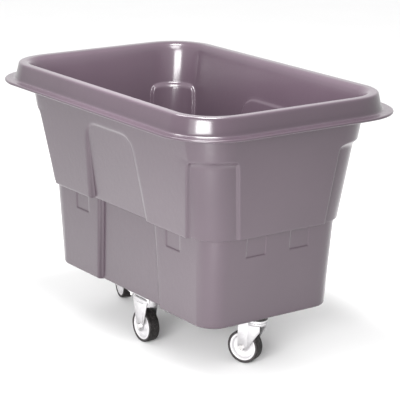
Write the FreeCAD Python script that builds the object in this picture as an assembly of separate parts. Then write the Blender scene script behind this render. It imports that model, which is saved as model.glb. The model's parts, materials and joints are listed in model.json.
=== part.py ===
import FreeCAD, Part
import math
import os

# Poly laundry cart: a one-piece moulded tub with a turned-down rim, on four plate casters in a
# diamond layout: a swivel caster at the middle of each short end and a rigid caster at the middle
# of each long side. Millimetres, +Z up, +X along the length. The origin is on the floor, under
# the middle of the tub.

V = FreeCAD.Vector
Z_AXIS = V(0, 0, 1)
PARTS = "parts"

# The cart's overall sizes; most of the tub follows from them.
CART_LENGTH = 1156.0
CART_WIDTH = 790.0
CART_HEIGHT = 820.0

# Wheels and casters.
WHEEL_R = 51.0
TREAD_SIDE_GAP = 2.0
TREAD_SHOULDER = 3.5
TREAD_CROWN = 0.3
TYRE_THICKNESS = 8.0
TYRE_CHAMFER = 1.0
TYRE_SEAT_STEP = 1.5
HUB_SIDE_GAP = 4.0
HUB_WEB = 9.0
HUB_RING = 5.5
HUB_BOSS_R = 15.0
HUB_SLOPE = 2.0
HUB_FOOT = 6.0
RIM_SOFT = 1.0
SWIVEL_OFFSET = 40.0
FRONT_YAW = 24.0
REAR_YAW = -15.0
PLATE_TURN = 90.0
FORK_GAP = 40.0
FORK_STEEL = 3.0
LEG_END_R = 18.0
LEG_END_AHEAD = 4.0
LEG_END_ABOVE = 9.0
LEG_SHOULDER_DROP = 34.0
RIGID_LEG_END_R = 17.0
RIGID_BEND = 9.0
RIGID_CROWN_HEIGHT = 15.0
RIGID_BOSS_HALF = (25.0, 14.0)
PLATE_LENGTH = 114.0
PLATE_WIDTH = 67.0
PLATE_THICKNESS = 4.0
PLATE_CORNER = 8.0
PAD_THICKNESS = 3.0
PAD_MARGIN = 2.0
BOLT_SPACING_LONG = 92.0
BOLT_SPACING_SHORT = 45.0

# Fasteners and bearings.
BOLT_R = 4.0
BOLT_CLEARANCE = 0.4
BOLT_HEAD_R = 8.5
BOLT_HEAD_HEIGHT = 4.5
BOLT_HEAD_ROUND = 3.0
WASHER_R = 10.0
WASHER_THICKNESS = 2.0
NUT_FLATS = 13.0
NUT_HEIGHT = 8.0
NUT_THREAD_END = 1.0
RIGID_THREAD_END = 10.0
AXLE_R = 5.0
AXLE_FLATS = 16.0
AXLE_HEAD = 6.0
AXLE_NUT_HEIGHT = 8.0
SLEEVE_R = 7.5
BEARING_R = 10.5
BEARING_LENGTH = 14.0
RUNNING_CLEARANCE = 0.05
WHEEL_SIDE_PLAY = 1.0
KINGPIN_R = 6.0
KINGPIN_HEAD_R = 9.0
KINGPIN_FLATS = 19.0
KINGPIN_NUT_HEIGHT = 7.0
KINGPIN_HEADROOM = 22.0
RACE_R = 28.0
RACE_BOSS_HEIGHT = 10.0
RACE_GAP = 2.0
CROWN_RAISED = 3.0
CROWN_THICKNESS = 3.0
SKIRT_DROP = 14.0
SKIRT_ROUND = 2.5
UPPER_BALL_R = 3.0
UPPER_BALL_CIRCLE = RACE_R - 6.0
UPPER_BALLS = 16
LOWER_BALL_R = 2.5
LOWER_CUP_R = FORK_GAP / 2 - 1.5
LOWER_BALL_CIRCLE = LOWER_CUP_R - LOWER_BALL_R - 1.0
LOWER_BALLS = 12
LOWER_CUP_THICKNESS = 3.0
BALL_CLEARANCE = 0.3
DUST_RING_WALL = 2.0
DUST_RING_GAP = 1.0

# The stack between wheel and tub, from the kingpin's end up.
CUP_BOTTOM = 2 * WHEEL_R + KINGPIN_HEADROOM + NUT_THREAD_END + KINGPIN_NUT_HEIGHT
CUP_TOP = CUP_BOTTOM + LOWER_CUP_THICKNESS
CROWN_BOTTOM = CUP_TOP + 2 * LOWER_BALL_R
CROWN_DECK = CROWN_BOTTOM + CROWN_THICKNESS
CROWN_TOP = CROWN_DECK + CROWN_RAISED
RACE_BOTTOM = CROWN_TOP + RACE_GAP
PLATE_BOTTOM = RACE_BOTTOM + RACE_BOSS_HEIGHT
PAD_BOTTOM = PLATE_BOTTOM + PLATE_THICKNESS
TUB_UNDERSIDE = PAD_BOTTOM + PAD_THICKNESS
FORK_OUTER = FORK_GAP / 2 + FORK_STEEL
TREAD_WIDTH = FORK_GAP - 2 * TREAD_SIDE_GAP
HUB_WIDTH = FORK_GAP - 2 * HUB_SIDE_GAP
FORK_FRONT = RACE_R - 8.0
RIGID_DECK = CROWN_TOP
HUB_R = WHEEL_R - TYRE_THICKNESS
LEG_END = (LEG_END_AHEAD - SWIVEL_OFFSET, WHEEL_R + LEG_END_ABOVE)
SKIRT_R = RACE_R + DUST_RING_GAP + DUST_RING_WALL
RIGID_LEG_TOP_HALF = BOLT_SPACING_LONG / 2 - 9.0

# Rim: a flat top band, an apron that leans out below it, and a level lip.
LIP_HALF = (CART_LENGTH / 2, CART_WIDTH / 2)
LIP_CORNER = 165.0
LIP_REACH = (25.0, 26.0)
LIP_DROP = 53.0
LIP_THICKNESS = 8.0
APRON_LEAN = 15.0
RIM_BAND = 32.0
RIM_WALL = 6.0
FOOT_HALF = (LIP_HALF[0] - LIP_REACH[0], LIP_HALF[1] - LIP_REACH[1])
RIM_HALF = (FOOT_HALF[0] - APRON_LEAN, FOOT_HALF[1] - APRON_LEAN)
FAR = CART_LENGTH

# Tub walls: outer half sizes along X and Y, and the corner radius, at the levels that shape them.
LEDGE_HEIGHT = 438.0
UPPER_TOP_CORNER = 108.0
UPPER_BOTTOM_CORNER = 98.0
LOWER_CORNER = 64.0
WALL = 5.0
FLOOR_THICKNESS = 7.0
BOTTOM_EDGE_R = 8.0
FLOOR_EDGE_R = 6.0
UPPER_TOP_HALF = (RIM_HALF[0] - RIM_BAND, RIM_HALF[1] - RIM_BAND)
UPPER_BOTTOM_HALF = (UPPER_TOP_HALF[0] - 45.0, UPPER_TOP_HALF[1] - 53.0)
LOWER_TOP_HALF = (UPPER_BOTTOM_HALF[0] - 19.0, UPPER_BOTTOM_HALF[1] - 30.0)
LOWER_BOTTOM_HALF = (LOWER_TOP_HALF[0] - 24.0, LOWER_TOP_HALF[1] - 8.0)
RIM_CORNER = UPPER_TOP_CORNER + RIM_BAND
FLOOR_TOP = TUB_UNDERSIDE + FLOOR_THICKNESS
SWIVEL_X = LOWER_BOTTOM_HALF[0] - 68.0
RIGID_Y = LOWER_BOTTOM_HALF[1] - 67.0

# Corner panels: sunk into the upper body at each corner, open at the ledge.
CORNER_TOP = CART_HEIGHT - 138.0
CORNER_DEPTH = 11.0
CORNER_X_AT_TOP = UPPER_TOP_HALF[0] - 103.0
CORNER_X_AT_LEDGE = UPPER_BOTTOM_HALF[0] - 103.0
CORNER_Y_AT_TOP = UPPER_TOP_HALF[1] - 139.0
CORNER_Y_AT_LEDGE = UPPER_BOTTOM_HALF[1] - 114.0
CORNER_OUTLINE_R = 24.0

# Middle panels of the long sides: an upper one that deepens downwards, and a lower one.
MIDDLE_TOP = CART_HEIGHT - 128.0
MIDDLE_DEPTH_TOP = 3.0
MIDDLE_DEPTH_LEDGE = 15.0
MIDDLE_HALF_AT_TOP = 122.0
MIDDLE_HALF_AT_LEDGE = 154.0
MIDDLE_OUTLINE_R = 45.0
LOWER_PANEL_DEPTH = 14.0
LOWER_PANEL_HALF_TOP = 150.0
LOWER_PANEL_HALF_BOTTOM = 169.0

# Shallow pockets under the ledge, two on every side.
POCKET_WIDTH = 70.0
POCKET_DROP = 65.0
POCKET_DEPTH = 2.0
POCKET_X = 248.0
POCKET_Y = 79.0
POCKET_CORNER = 10.0

# How far tools run past the faces they cut, and how near two heights count as one.
OVERRUN = 1.0
TOUCH = 0.01


def between(low, high, share):
    return low + (high - low) * share


def outline(half, corner, z, inset=0.0):
    """A closed rectangle wire with round corners, its sides moved in by inset."""
    a, b = half[0] - inset, half[1] - inset
    r = max(corner - inset, 1.0)
    edges = []
    centres = ((a - r, b - r, 0), (r - a, b - r, 90), (r - a, r - b, 180), (a - r, r - b, 270))
    for index, (x, y, turn) in enumerate(centres):
        def on_arc(degrees):
            angle = math.radians(turn + degrees)
            return V(x + r * math.cos(angle), y + r * math.sin(angle), z)
        edges.append(Part.Arc(on_arc(0), on_arc(45), on_arc(90)).toShape())
        nx, ny, next_turn = centres[(index + 1) % 4]
        angle = math.radians(next_turn)
        start = V(nx + r * math.cos(angle), ny + r * math.sin(angle), z)
        edges.append(Part.makeLine(on_arc(90), start))
    return Part.Wire(edges)


def skin(*wires):
    return Part.makeLoft(list(wires), True, True)


def box(low, high):
    return Part.makeBox(high[0] - low[0], high[1] - low[1], high[2] - low[2], V(*low))


def cylinder(radius, bottom, top, x=0.0, y=0.0):
    return Part.makeCylinder(radius, top - bottom, V(x, y, bottom))


def fillet_where(shape, radius, chosen):
    edges = [edge for edge in shape.Edges if chosen(edge)]
    return shape.makeFillet(radius, edges)


def save(name, shape):
    if not shape.isValid():
        raise ValueError(name + " is not a valid solid")
    shape.exportStep(PARTS + "/" + name + ".step")
    print(name, len(shape.Solids), round(shape.Volume))


# ---- Tub ----

def upper_half_at(z):
    share = (z - LEDGE_HEIGHT) / (CART_HEIGHT - LEDGE_HEIGHT)
    half = tuple(between(UPPER_BOTTOM_HALF[i], UPPER_TOP_HALF[i], share) for i in (0, 1))
    return half, between(UPPER_BOTTOM_CORNER, UPPER_TOP_CORNER, share)


def lower_half_at(z):
    share = (z - TUB_UNDERSIDE) / (LEDGE_HEIGHT - TUB_UNDERSIDE)
    return tuple(between(LOWER_BOTTOM_HALF[i], LOWER_TOP_HALF[i], share) for i in (0, 1))


def upper_body(inset, bottom, top):
    low_half, low_corner = upper_half_at(bottom)
    high_half, high_corner = upper_half_at(top)
    return skin(outline(low_half, low_corner, bottom, inset), outline(high_half, high_corner, top, inset))


def lower_body(inset, bottom, top, edge_r):
    low = outline(lower_half_at(bottom), LOWER_CORNER, bottom, inset)
    high = outline(lower_half_at(top), LOWER_CORNER, top, inset)
    body = skin(low, high)
    return fillet_where(body, edge_r, lambda edge: edge.BoundBox.ZMax < bottom + TOUCH)


def wedge(bottom, top, low_at, high_at):
    """A block between two levels; low_at and high_at give its corner points there."""
    wires = []
    for z in (bottom, top):
        (x0, y0), (x1, y1) = low_at(z), high_at(z)
        corners = [V(x0, y0, z), V(x1, y0, z), V(x1, y1, z), V(x0, y1, z)]
        wires.append(Part.makePolygon(corners + corners[:1]))
    return skin(*wires)


def corner_panel(grow, bottom):
    """The space of the panel sunk into the +X +Y corner, larger by grow all round."""
    top = CORNER_TOP + grow

    def inner(z):
        share = (z - LEDGE_HEIGHT) / (CORNER_TOP - LEDGE_HEIGHT)
        return (between(CORNER_X_AT_LEDGE, CORNER_X_AT_TOP, share) - grow,
                between(CORNER_Y_AT_LEDGE, CORNER_Y_AT_TOP, share) - grow)

    block = wedge(bottom, top, inner, lambda z: (FAR, FAR))
    x_top, y_top = inner(top)

    def top_inner_edge(edge):
        bounds = edge.BoundBox
        level = bounds.ZMin > top - TOUCH
        along_y = abs(bounds.XMax - x_top) < TOUCH
        along_x = abs(bounds.YMax - y_top) < TOUCH
        return level and (along_y or along_x)

    block = fillet_where(block, CORNER_OUTLINE_R + grow, top_inner_edge)
    return block.cut(upper_body(CORNER_DEPTH + grow, bottom, CART_HEIGHT))


def middle_panel(grow, bottom):
    """The space of the upper panel sunk into the middle of the +Y side."""
    top = MIDDLE_TOP + grow
    height = MIDDLE_TOP - LEDGE_HEIGHT

    def width_at(z):
        return between(MIDDLE_HALF_AT_LEDGE, MIDDLE_HALF_AT_TOP, (z - LEDGE_HEIGHT) / height) + grow

    def floor_at(z):
        depth = between(MIDDLE_DEPTH_LEDGE, MIDDLE_DEPTH_TOP, (z - LEDGE_HEIGHT) / height)
        return upper_half_at(z)[0][1] - depth - grow

    block = wedge(bottom, top, lambda z: (-width_at(z), floor_at(z)), lambda z: (width_at(z), FAR))

    def top_side_edge(edge):
        bounds = edge.BoundBox
        return bounds.ZMin > top - TOUCH and bounds.XLength < TOUCH

    return fillet_where(block, MIDDLE_OUTLINE_R + grow, top_side_edge)


def lower_panel(grow, bottom, top):
    """The space of the panel sunk into the middle of the lower +Y side."""
    height = LEDGE_HEIGHT - TUB_UNDERSIDE

    def width_at(z):
        share = (z - TUB_UNDERSIDE) / height
        return between(LOWER_PANEL_HALF_BOTTOM, LOWER_PANEL_HALF_TOP, share) + grow

    def floor_at(z):
        return lower_half_at(z)[1] - LOWER_PANEL_DEPTH - grow

    return wedge(bottom, top, lambda z: (-width_at(z), floor_at(z)), lambda z: (width_at(z), FAR))


def mirrored(shape, sides):
    """Copies of a shape on the named sides: "x" and "y" give four, "y" gives two."""
    copies = [shape]
    if "y" in sides:
        copies += [item.mirror(V(0, 0, 0), V(0, 1, 0)) for item in copies]
    if "x" in sides:
        copies += [item.mirror(V(0, 0, 0), V(1, 0, 0)) for item in copies]
    return copies


def panels(grow, ledge, underside):
    spaces = mirrored(corner_panel(grow, ledge), "xy")
    spaces += mirrored(middle_panel(grow, ledge), "y")
    spaces += mirrored(lower_panel(grow, underside, ledge), "y")
    return spaces


def pocket(low_corner, high_corner, flat_side):
    """A shallow pocket with round lower corners, cut square to one wall under the ledge."""
    low, high = LEDGE_HEIGHT - POCKET_DROP, LEDGE_HEIGHT
    shell = lower_body(POCKET_DEPTH, TUB_UNDERSIDE, LEDGE_HEIGHT, BOTTOM_EDGE_R)
    block = box(low_corner + (low,), high_corner + (high,))

    def lower_side_edge(edge):
        bounds = edge.BoundBox
        return bounds.ZMax < low + TOUCH and (bounds.XLength, bounds.YLength)[flat_side] < TOUCH

    return fillet_where(block, POCKET_CORNER, lower_side_edge).cut(shell)


def pockets():
    half = POCKET_WIDTH / 2
    at_end = pocket((0, POCKET_Y - half), (FAR, POCKET_Y + half), 1)
    at_side = pocket((POCKET_X - half, 0), (POCKET_X + half, FAR), 0)
    return mirrored(at_end, "xy") + mirrored(at_side, "xy")


def rim():
    """The top band, apron and lip as one ring, still closed over the tub's mouth."""
    lip_top = CART_HEIGHT - LIP_DROP
    lip_bottom = lip_top - LIP_THICKNESS
    foot_corner = RIM_CORNER + APRON_LEAN
    apron = skin(outline(FOOT_HALF, foot_corner, lip_bottom), outline(RIM_HALF, RIM_CORNER, CART_HEIGHT))
    lip = skin(outline(LIP_HALF, LIP_CORNER, lip_bottom), outline(LIP_HALF, LIP_CORNER, lip_top))
    ceiling = CART_HEIGHT - RIM_WALL
    hollow_foot = outline(FOOT_HALF, foot_corner, lip_bottom, RIM_WALL)
    hollow_top = outline(RIM_HALF, RIM_CORNER, ceiling, RIM_WALL)
    return apron.fuse(lip).cut(skin(hollow_foot, hollow_top))


def bolt_places():
    """Every mounting hole in the floor; the swivel plates lie across the cart."""
    places = []
    for dx, dy in plate_bolts():
        places += [(SWIVEL_X + dy, dx), (-SWIVEL_X + dy, dx)]
        places += [(dx, RIGID_Y + dy), (dx, -RIGID_Y + dy)]
    return places


def plate_bolts():
    half_long, half_short = BOLT_SPACING_LONG / 2, BOLT_SPACING_SHORT / 2
    return [(sx * half_long, sy * half_short) for sx in (-1, 1) for sy in (-1, 1)]


def tub():
    body = lower_body(0, TUB_UNDERSIDE, LEDGE_HEIGHT, BOTTOM_EDGE_R)
    body = body.fuse(upper_body(0, LEDGE_HEIGHT, CART_HEIGHT))
    for space in panels(0, LEDGE_HEIGHT, TUB_UNDERSIDE):
        body = body.cut(space)
    for space in pockets():
        body = body.cut(space)
    inner_ledge = LEDGE_HEIGHT + WALL
    cavity = lower_body(WALL, FLOOR_TOP, inner_ledge, FLOOR_EDGE_R)
    cavity = cavity.fuse(upper_body(WALL, inner_ledge, CART_HEIGHT))
    for space in panels(WALL, inner_ledge, TUB_UNDERSIDE):
        cavity = cavity.cut(space)
    shell = body.fuse(rim()).cut(cavity)
    for x, y in bolt_places():
        shell = shell.cut(cylinder(BOLT_R + BOLT_CLEARANCE, PAD_BOTTOM, FLOOR_TOP + OVERRUN, x, y))
    return shell.removeSplitter()


# ---- Caster pieces, about the plate's centre, with the wheel trailing towards -X ----

def hexagon(flats, bottom, height):
    radius = flats / math.sqrt(3)
    points = [V(radius * math.cos(math.radians(60 * i)), radius * math.sin(math.radians(60 * i)), bottom)
              for i in range(7)]
    return Part.Face(Part.makePolygon(points)).extrude(V(0, 0, height))


def along_y(shape, x, z, start):
    """Turns a piece built along +Z at the origin to lie along +Y, starting at y = start."""
    turned = shape.copy()
    turned.rotate(V(0, 0, 0), V(1, 0, 0), -90)
    turned.translate(V(x, start, z))
    return turned


def plate(thickness, margin, bottom):
    a, b = PLATE_LENGTH / 2 + margin, PLATE_WIDTH / 2 + margin
    face = Part.Face(outline((a, b), PLATE_CORNER, bottom))
    slab = face.extrude(V(0, 0, thickness))
    for x, y in plate_bolts():
        slab = slab.cut(cylinder(BOLT_R + BOLT_CLEARANCE, 0, CART_HEIGHT, x, y))
    return slab


def ball_track(circle, ball_r, z):
    return Part.makeTorus(circle, ball_r + BALL_CLEARANCE, V(0, 0, z))


def swivel_plate():
    slab = plate(PLATE_THICKNESS, 0, PLATE_BOTTOM).fuse(cylinder(RACE_R, RACE_BOTTOM, PLATE_BOTTOM))
    slab = slab.cut(ball_track(UPPER_BALL_CIRCLE, UPPER_BALL_R, upper_ball_height()))
    slab = slab.cut(cylinder(KINGPIN_R + RUNNING_CLEARANCE, RACE_BOTTOM - OVERRUN, PAD_BOTTOM + OVERRUN))
    return slab.cut(kingpin_head(RUNNING_CLEARANCE))


def upper_ball_height():
    return RACE_BOTTOM - RACE_GAP / 2


def lower_ball_height():
    return CROWN_BOTTOM - LOWER_BALL_R


def balls(count, circle, radius, z):
    made = []
    for index in range(count):
        angle = 2 * math.pi * index / count
        made.append(Part.makeSphere(radius, V(circle * math.cos(angle), circle * math.sin(angle), z)))
    return Part.Compound(made)


def kingpin_head(gap):
    depth = KINGPIN_HEAD_R - KINGPIN_R
    return Part.makeCone(KINGPIN_R + gap, KINGPIN_HEAD_R + gap, depth, V(0, 0, PAD_BOTTOM - depth))


def kingpin():
    end = CUP_BOTTOM - KINGPIN_NUT_HEIGHT - NUT_THREAD_END
    return cylinder(KINGPIN_R, end, PAD_BOTTOM).fuse(kingpin_head(0)).removeSplitter()


def kingpin_nut():
    nut = hexagon(KINGPIN_FLATS, CUP_BOTTOM - KINGPIN_NUT_HEIGHT, KINGPIN_NUT_HEIGHT)
    return nut.cut(cylinder(KINGPIN_R, 0, CART_HEIGHT))


def lower_cup():
    cup = cylinder(LOWER_CUP_R, CUP_BOTTOM, CUP_TOP)
    cup = cup.cut(cylinder(KINGPIN_R, 0, CART_HEIGHT))
    return cup.cut(ball_track(LOWER_BALL_CIRCLE, LOWER_BALL_R, lower_ball_height()))


def dust_ring():
    inner = RACE_R + DUST_RING_GAP
    ring = cylinder(inner + DUST_RING_WALL, CROWN_DECK, PLATE_BOTTOM - DUST_RING_GAP)
    return ring.cut(cylinder(inner, 0, CART_HEIGHT))


def leg(points, end_x, end_z, end_r):
    """One fork leg's side shape, from a top outline down to a round end about the axle."""
    side = Part.Face(Part.makePolygon([V(x, 0, z) for x, z in points + points[:1]]))
    solid = side.extrude(V(0, FORK_STEEL, 0))
    end = along_y(cylinder(end_r, 0, FORK_STEEL), end_x, end_z, 0)
    return solid.fuse(end).removeSplitter()


def tangent_point(x, z, centre, radius, side):
    """Where a line from (x, z) touches the leg's round end; side is 1 or -1."""
    dx, dz = x - centre[0], z - centre[1]
    angle = math.atan2(dz, dx) + side * math.acos(radius / math.hypot(dx, dz))
    return centre[0] + radius * math.cos(angle), centre[1] + radius * math.sin(angle)


def swivel_leg():
    rear = LEG_END[0] - LEG_END_R
    shoulder = CROWN_DECK - LEG_SHOULDER_DROP
    touch = tangent_point(FORK_FRONT, shoulder, LEG_END, LEG_END_R, -1)
    points = [(rear, CROWN_DECK), (rear, LEG_END[1]), LEG_END, touch,
              (FORK_FRONT, shoulder), (FORK_FRONT, CROWN_DECK)]
    return leg(points, LEG_END[0], LEG_END[1], LEG_END_R)


def rigid_leg():
    half, top = RIGID_LEG_TOP_HALF, RIGID_DECK - RIGID_CROWN_HEIGHT
    axle = (0, WHEEL_R)
    right = tangent_point(half, top, axle, RIGID_LEG_END_R, -1)
    left = tangent_point(-half, top, axle, RIGID_LEG_END_R, 1)
    return leg([(-half, top), left, axle, right, (half, top)], 0, WHEEL_R, RIGID_LEG_END_R)


def both_legs(one, axle_x):
    legs = []
    for start in (FORK_GAP / 2, -FORK_OUTER):
        placed = one.copy()
        placed.translate(V(0, start, 0))
        legs.append(placed)
    hole = along_y(cylinder(AXLE_R, 0, 4 * FORK_OUTER), axle_x, WHEEL_R, -2 * FORK_OUTER)
    return legs[0].cut(hole), legs[1].cut(hole)


def dish():
    """The crown's disc with a skirt turned down round it."""
    foot = CROWN_BOTTOM - SKIRT_DROP
    solid = cylinder(SKIRT_R, foot, CROWN_DECK)
    solid = fillet_where(solid, SKIRT_ROUND, lambda edge: edge.BoundBox.ZMax < foot + TOUCH)
    return solid.cut(cylinder(SKIRT_R - CROWN_THICKNESS, foot - OVERRUN, CROWN_BOTTOM))


def swivel_fork():
    left, right = both_legs(swivel_leg(), -SWIVEL_OFFSET)
    rear = LEG_END[0] - LEG_END_R
    deck = box((rear, -FORK_OUTER, CROWN_BOTTOM), (FORK_FRONT, FORK_OUTER, CROWN_DECK))
    raised = cylinder(RACE_R - DUST_RING_GAP, CROWN_DECK, CROWN_TOP)
    fork = deck.fuse([dish(), raised, left, right])
    fork = fork.cut(cylinder(KINGPIN_R + DUST_RING_GAP, 0, CART_HEIGHT))
    fork = fork.cut(ball_track(UPPER_BALL_CIRCLE, UPPER_BALL_R, upper_ball_height()))
    fork = fork.cut(ball_track(LOWER_BALL_CIRCLE, LOWER_BALL_R, lower_ball_height()))
    return fork.removeSplitter()


def crown_block(inset):
    """The rigid frame's crown as a block with its two long top edges rounded, moved in by inset."""
    half_x, half_y = RIGID_LEG_TOP_HALF, FORK_OUTER - inset
    top = RIGID_DECK - inset
    overrun = OVERRUN if inset else 0.0
    block = box((-half_x - overrun, -half_y, RIGID_DECK - RIGID_CROWN_HEIGHT - overrun),
                (half_x + overrun, half_y, top))

    def long_top_edge(edge):
        bounds = edge.BoundBox
        return bounds.ZMin > top - TOUCH and bounds.YLength < TOUCH

    return fillet_where(block, RIGID_BEND - inset, long_top_edge)


def rigid_frame():
    """A plate, a boss below it, and a crown bent down on both sides into the legs."""
    left, right = both_legs(rigid_leg(), 0)
    crown = crown_block(0.0).cut(crown_block(FORK_STEEL))
    boss_x, boss_y = RIGID_BOSS_HALF
    boss = box((-boss_x, -boss_y, RIGID_DECK), (boss_x, boss_y, PLATE_BOTTOM))
    return plate(PLATE_THICKNESS, 0, PLATE_BOTTOM).fuse([boss, crown, left, right]).removeSplitter()


def axle_pieces(axle_x):
    """The axle bolt, its nut and the sleeve clamped between the legs."""
    length = 2 * FORK_OUTER + AXLE_NUT_HEIGHT + NUT_THREAD_END
    shank = along_y(cylinder(AXLE_R, 0, length), axle_x, WHEEL_R, -FORK_OUTER)
    head = along_y(hexagon(AXLE_FLATS, 0, AXLE_HEAD), axle_x, WHEEL_R, -FORK_OUTER - AXLE_HEAD)
    nut = hexagon(AXLE_FLATS, 0, AXLE_NUT_HEIGHT)
    nut = nut.cut(cylinder(AXLE_R, -OVERRUN, AXLE_NUT_HEIGHT + OVERRUN))
    nut = along_y(nut, axle_x, WHEEL_R, FORK_OUTER)
    sleeve = cylinder(SLEEVE_R, 0, FORK_GAP).cut(cylinder(AXLE_R, -OVERRUN, FORK_GAP + OVERRUN))
    sleeve = along_y(sleeve, axle_x, WHEEL_R, -FORK_GAP / 2)
    return {"axle_bolt": shank.fuse(head).removeSplitter(), "axle_nut": nut, "axle_sleeve": sleeve}


def revolved(points):
    """A ring from an (r, along the axle) outline, mirrored about the wheel's middle."""
    closed = points + [(r, -y) for r, y in reversed(points)]
    wire = Part.makePolygon([V(r, 0, y) for r, y in closed + closed[:1]])
    return Part.Face(wire).revolve(V(0, 0, 0), Z_AXIS, 360)


def wheel_pieces(axle_x):
    half_boss = FORK_GAP / 2 - WHEEL_SIDE_PLAY
    half_rim, half_web = HUB_WIDTH / 2, HUB_WEB / 2
    ring_inner = HUB_R - HUB_RING
    hub = revolved([(BEARING_R, half_boss), (HUB_BOSS_R - HUB_SLOPE, half_boss),
                    (HUB_BOSS_R, half_boss - HUB_SLOPE), (HUB_BOSS_R + HUB_SLOPE, half_web + HUB_SLOPE),
                    (HUB_BOSS_R + HUB_FOOT, half_web), (ring_inner - HUB_FOOT, half_web),
                    (ring_inner - HUB_SLOPE, half_web + HUB_SLOPE), (ring_inner, half_rim - RIM_SOFT),
                    (ring_inner + RIM_SOFT, half_rim), (HUB_R, half_rim)])
    half_tread = TREAD_WIDTH / 2
    tyre = revolved([(HUB_R, half_tread - TYRE_SEAT_STEP), (HUB_R + TYRE_CHAMFER, half_tread),
                     (WHEEL_R - TREAD_SHOULDER, half_tread),
                     (WHEEL_R - TYRE_CHAMFER, half_tread - TYRE_CHAMFER),
                     (WHEEL_R - TREAD_CROWN, half_tread - TREAD_SHOULDER),
                     (WHEEL_R, half_tread - 2 * TREAD_SHOULDER)])
    bearing_r = SLEEVE_R + RUNNING_CLEARANCE
    bush = cylinder(BEARING_R, half_boss - BEARING_LENGTH, half_boss)
    bush = bush.cut(cylinder(bearing_r, -OVERRUN, FORK_GAP))
    bushes = [along_y(bush, axle_x, WHEEL_R, 0)]
    bushes.append(bushes[0].mirror(V(0, 0, 0), V(0, 1, 0)))
    return {"hub": along_y(hub, axle_x, WHEEL_R, 0), "tyre": along_y(tyre, axle_x, WHEEL_R, 0),
            "wheel_bearings": Part.Compound(bushes)}


def mounting_pieces(thread_end):
    """The pad under the tub floor, and the bolts, washers and nuts that hold a caster to it."""
    bolts, washers, nuts = [], [], []
    washer_top = FLOOR_TOP + WASHER_THICKNESS
    for x, y in plate_bolts():
        washers.append(cylinder(WASHER_R, FLOOR_TOP, washer_top, x, y)
                       .cut(cylinder(BOLT_R + BOLT_CLEARANCE, 0, CART_HEIGHT, x, y)))
        end = PLATE_BOTTOM - NUT_HEIGHT - thread_end
        shank = cylinder(BOLT_R, end, washer_top, x, y)
        head = cylinder(BOLT_HEAD_R, washer_top, washer_top + BOLT_HEAD_HEIGHT, x, y)
        head = fillet_where(head, BOLT_HEAD_ROUND,
                            lambda edge: edge.BoundBox.ZMin > washer_top + BOLT_HEAD_HEIGHT - TOUCH)
        bolts.append(shank.fuse(head).removeSplitter())
        nut = hexagon(NUT_FLATS, PLATE_BOTTOM - NUT_HEIGHT, NUT_HEIGHT)
        nut.translate(V(x, y, 0))
        nuts.append(nut.cut(cylinder(BOLT_R, 0, CART_HEIGHT, x, y)))
    pad = plate(PAD_THICKNESS, PAD_MARGIN, PAD_BOTTOM)
    return {"mounting_pad": pad, "mounting_bolts": Part.Compound(bolts),
            "mounting_washers": Part.Compound(washers), "mounting_nuts": Part.Compound(nuts)}


def place(pieces, prefix, x, y, yaw):
    for name, shape in pieces.items():
        placed = shape.copy()
        placed.rotate(V(0, 0, 0), Z_AXIS, yaw)
        placed.translate(V(x, y, 0))
        save(prefix + "_" + name, placed)


def swivel_fixed_pieces():
    pieces = {"top_plate": swivel_plate(), "kingpin": kingpin(), "kingpin_nut": kingpin_nut(),
              "lower_race": lower_cup()}
    pieces.update(mounting_pieces(NUT_THREAD_END))
    return pieces


def swivel_moving_pieces():
    pieces = {"fork": swivel_fork(), "dust_ring": dust_ring(),
              "upper_balls": balls(UPPER_BALLS, UPPER_BALL_CIRCLE, UPPER_BALL_R, upper_ball_height()),
              "lower_balls": balls(LOWER_BALLS, LOWER_BALL_CIRCLE, LOWER_BALL_R, lower_ball_height())}
    pieces.update(axle_pieces(-SWIVEL_OFFSET))
    pieces.update(wheel_pieces(-SWIVEL_OFFSET))
    return pieces


def rigid_pieces():
    pieces = {"caster_frame": rigid_frame()}
    pieces.update(mounting_pieces(RIGID_THREAD_END))
    pieces.update(axle_pieces(0))
    pieces.update(wheel_pieces(0))
    return pieces


os.makedirs(PARTS, exist_ok=True)
save("tub", tub())
for end, x, yaw in (("front", SWIVEL_X, FRONT_YAW), ("rear", -SWIVEL_X, REAR_YAW)):
    place(swivel_fixed_pieces(), end, x, 0, PLATE_TURN)
    place(swivel_moving_pieces(), end, x, 0, yaw)
for side, y in (("left", RIGID_Y), ("right", -RIGID_Y)):
    place(rigid_pieces(), side, 0, y, 0)
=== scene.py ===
import json
import math
import bpy
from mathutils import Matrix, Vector


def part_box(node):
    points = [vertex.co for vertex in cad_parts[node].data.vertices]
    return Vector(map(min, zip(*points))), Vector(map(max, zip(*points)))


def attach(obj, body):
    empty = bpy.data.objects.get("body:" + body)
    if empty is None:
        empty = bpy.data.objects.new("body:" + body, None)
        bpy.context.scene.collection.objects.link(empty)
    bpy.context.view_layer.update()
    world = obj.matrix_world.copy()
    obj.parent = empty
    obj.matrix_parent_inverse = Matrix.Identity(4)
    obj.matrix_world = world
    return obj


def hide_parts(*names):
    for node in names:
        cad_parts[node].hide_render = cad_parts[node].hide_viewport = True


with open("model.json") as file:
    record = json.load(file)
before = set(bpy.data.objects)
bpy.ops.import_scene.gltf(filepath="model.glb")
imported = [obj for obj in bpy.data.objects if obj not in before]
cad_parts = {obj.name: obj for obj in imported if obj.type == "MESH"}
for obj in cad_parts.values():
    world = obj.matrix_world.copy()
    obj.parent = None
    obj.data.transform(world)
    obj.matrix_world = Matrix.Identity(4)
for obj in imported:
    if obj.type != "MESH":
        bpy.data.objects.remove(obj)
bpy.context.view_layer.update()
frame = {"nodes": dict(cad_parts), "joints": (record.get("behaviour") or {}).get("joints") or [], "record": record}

nodes = frame["nodes"]


# ---- Camera, floor and lights ----
# A product shot: a long lens from the front right corner, a little above the rim, on a pale floor.
# Soft boxes stand off the near corner, low in front of it, overhead and above the open tub.

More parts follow.
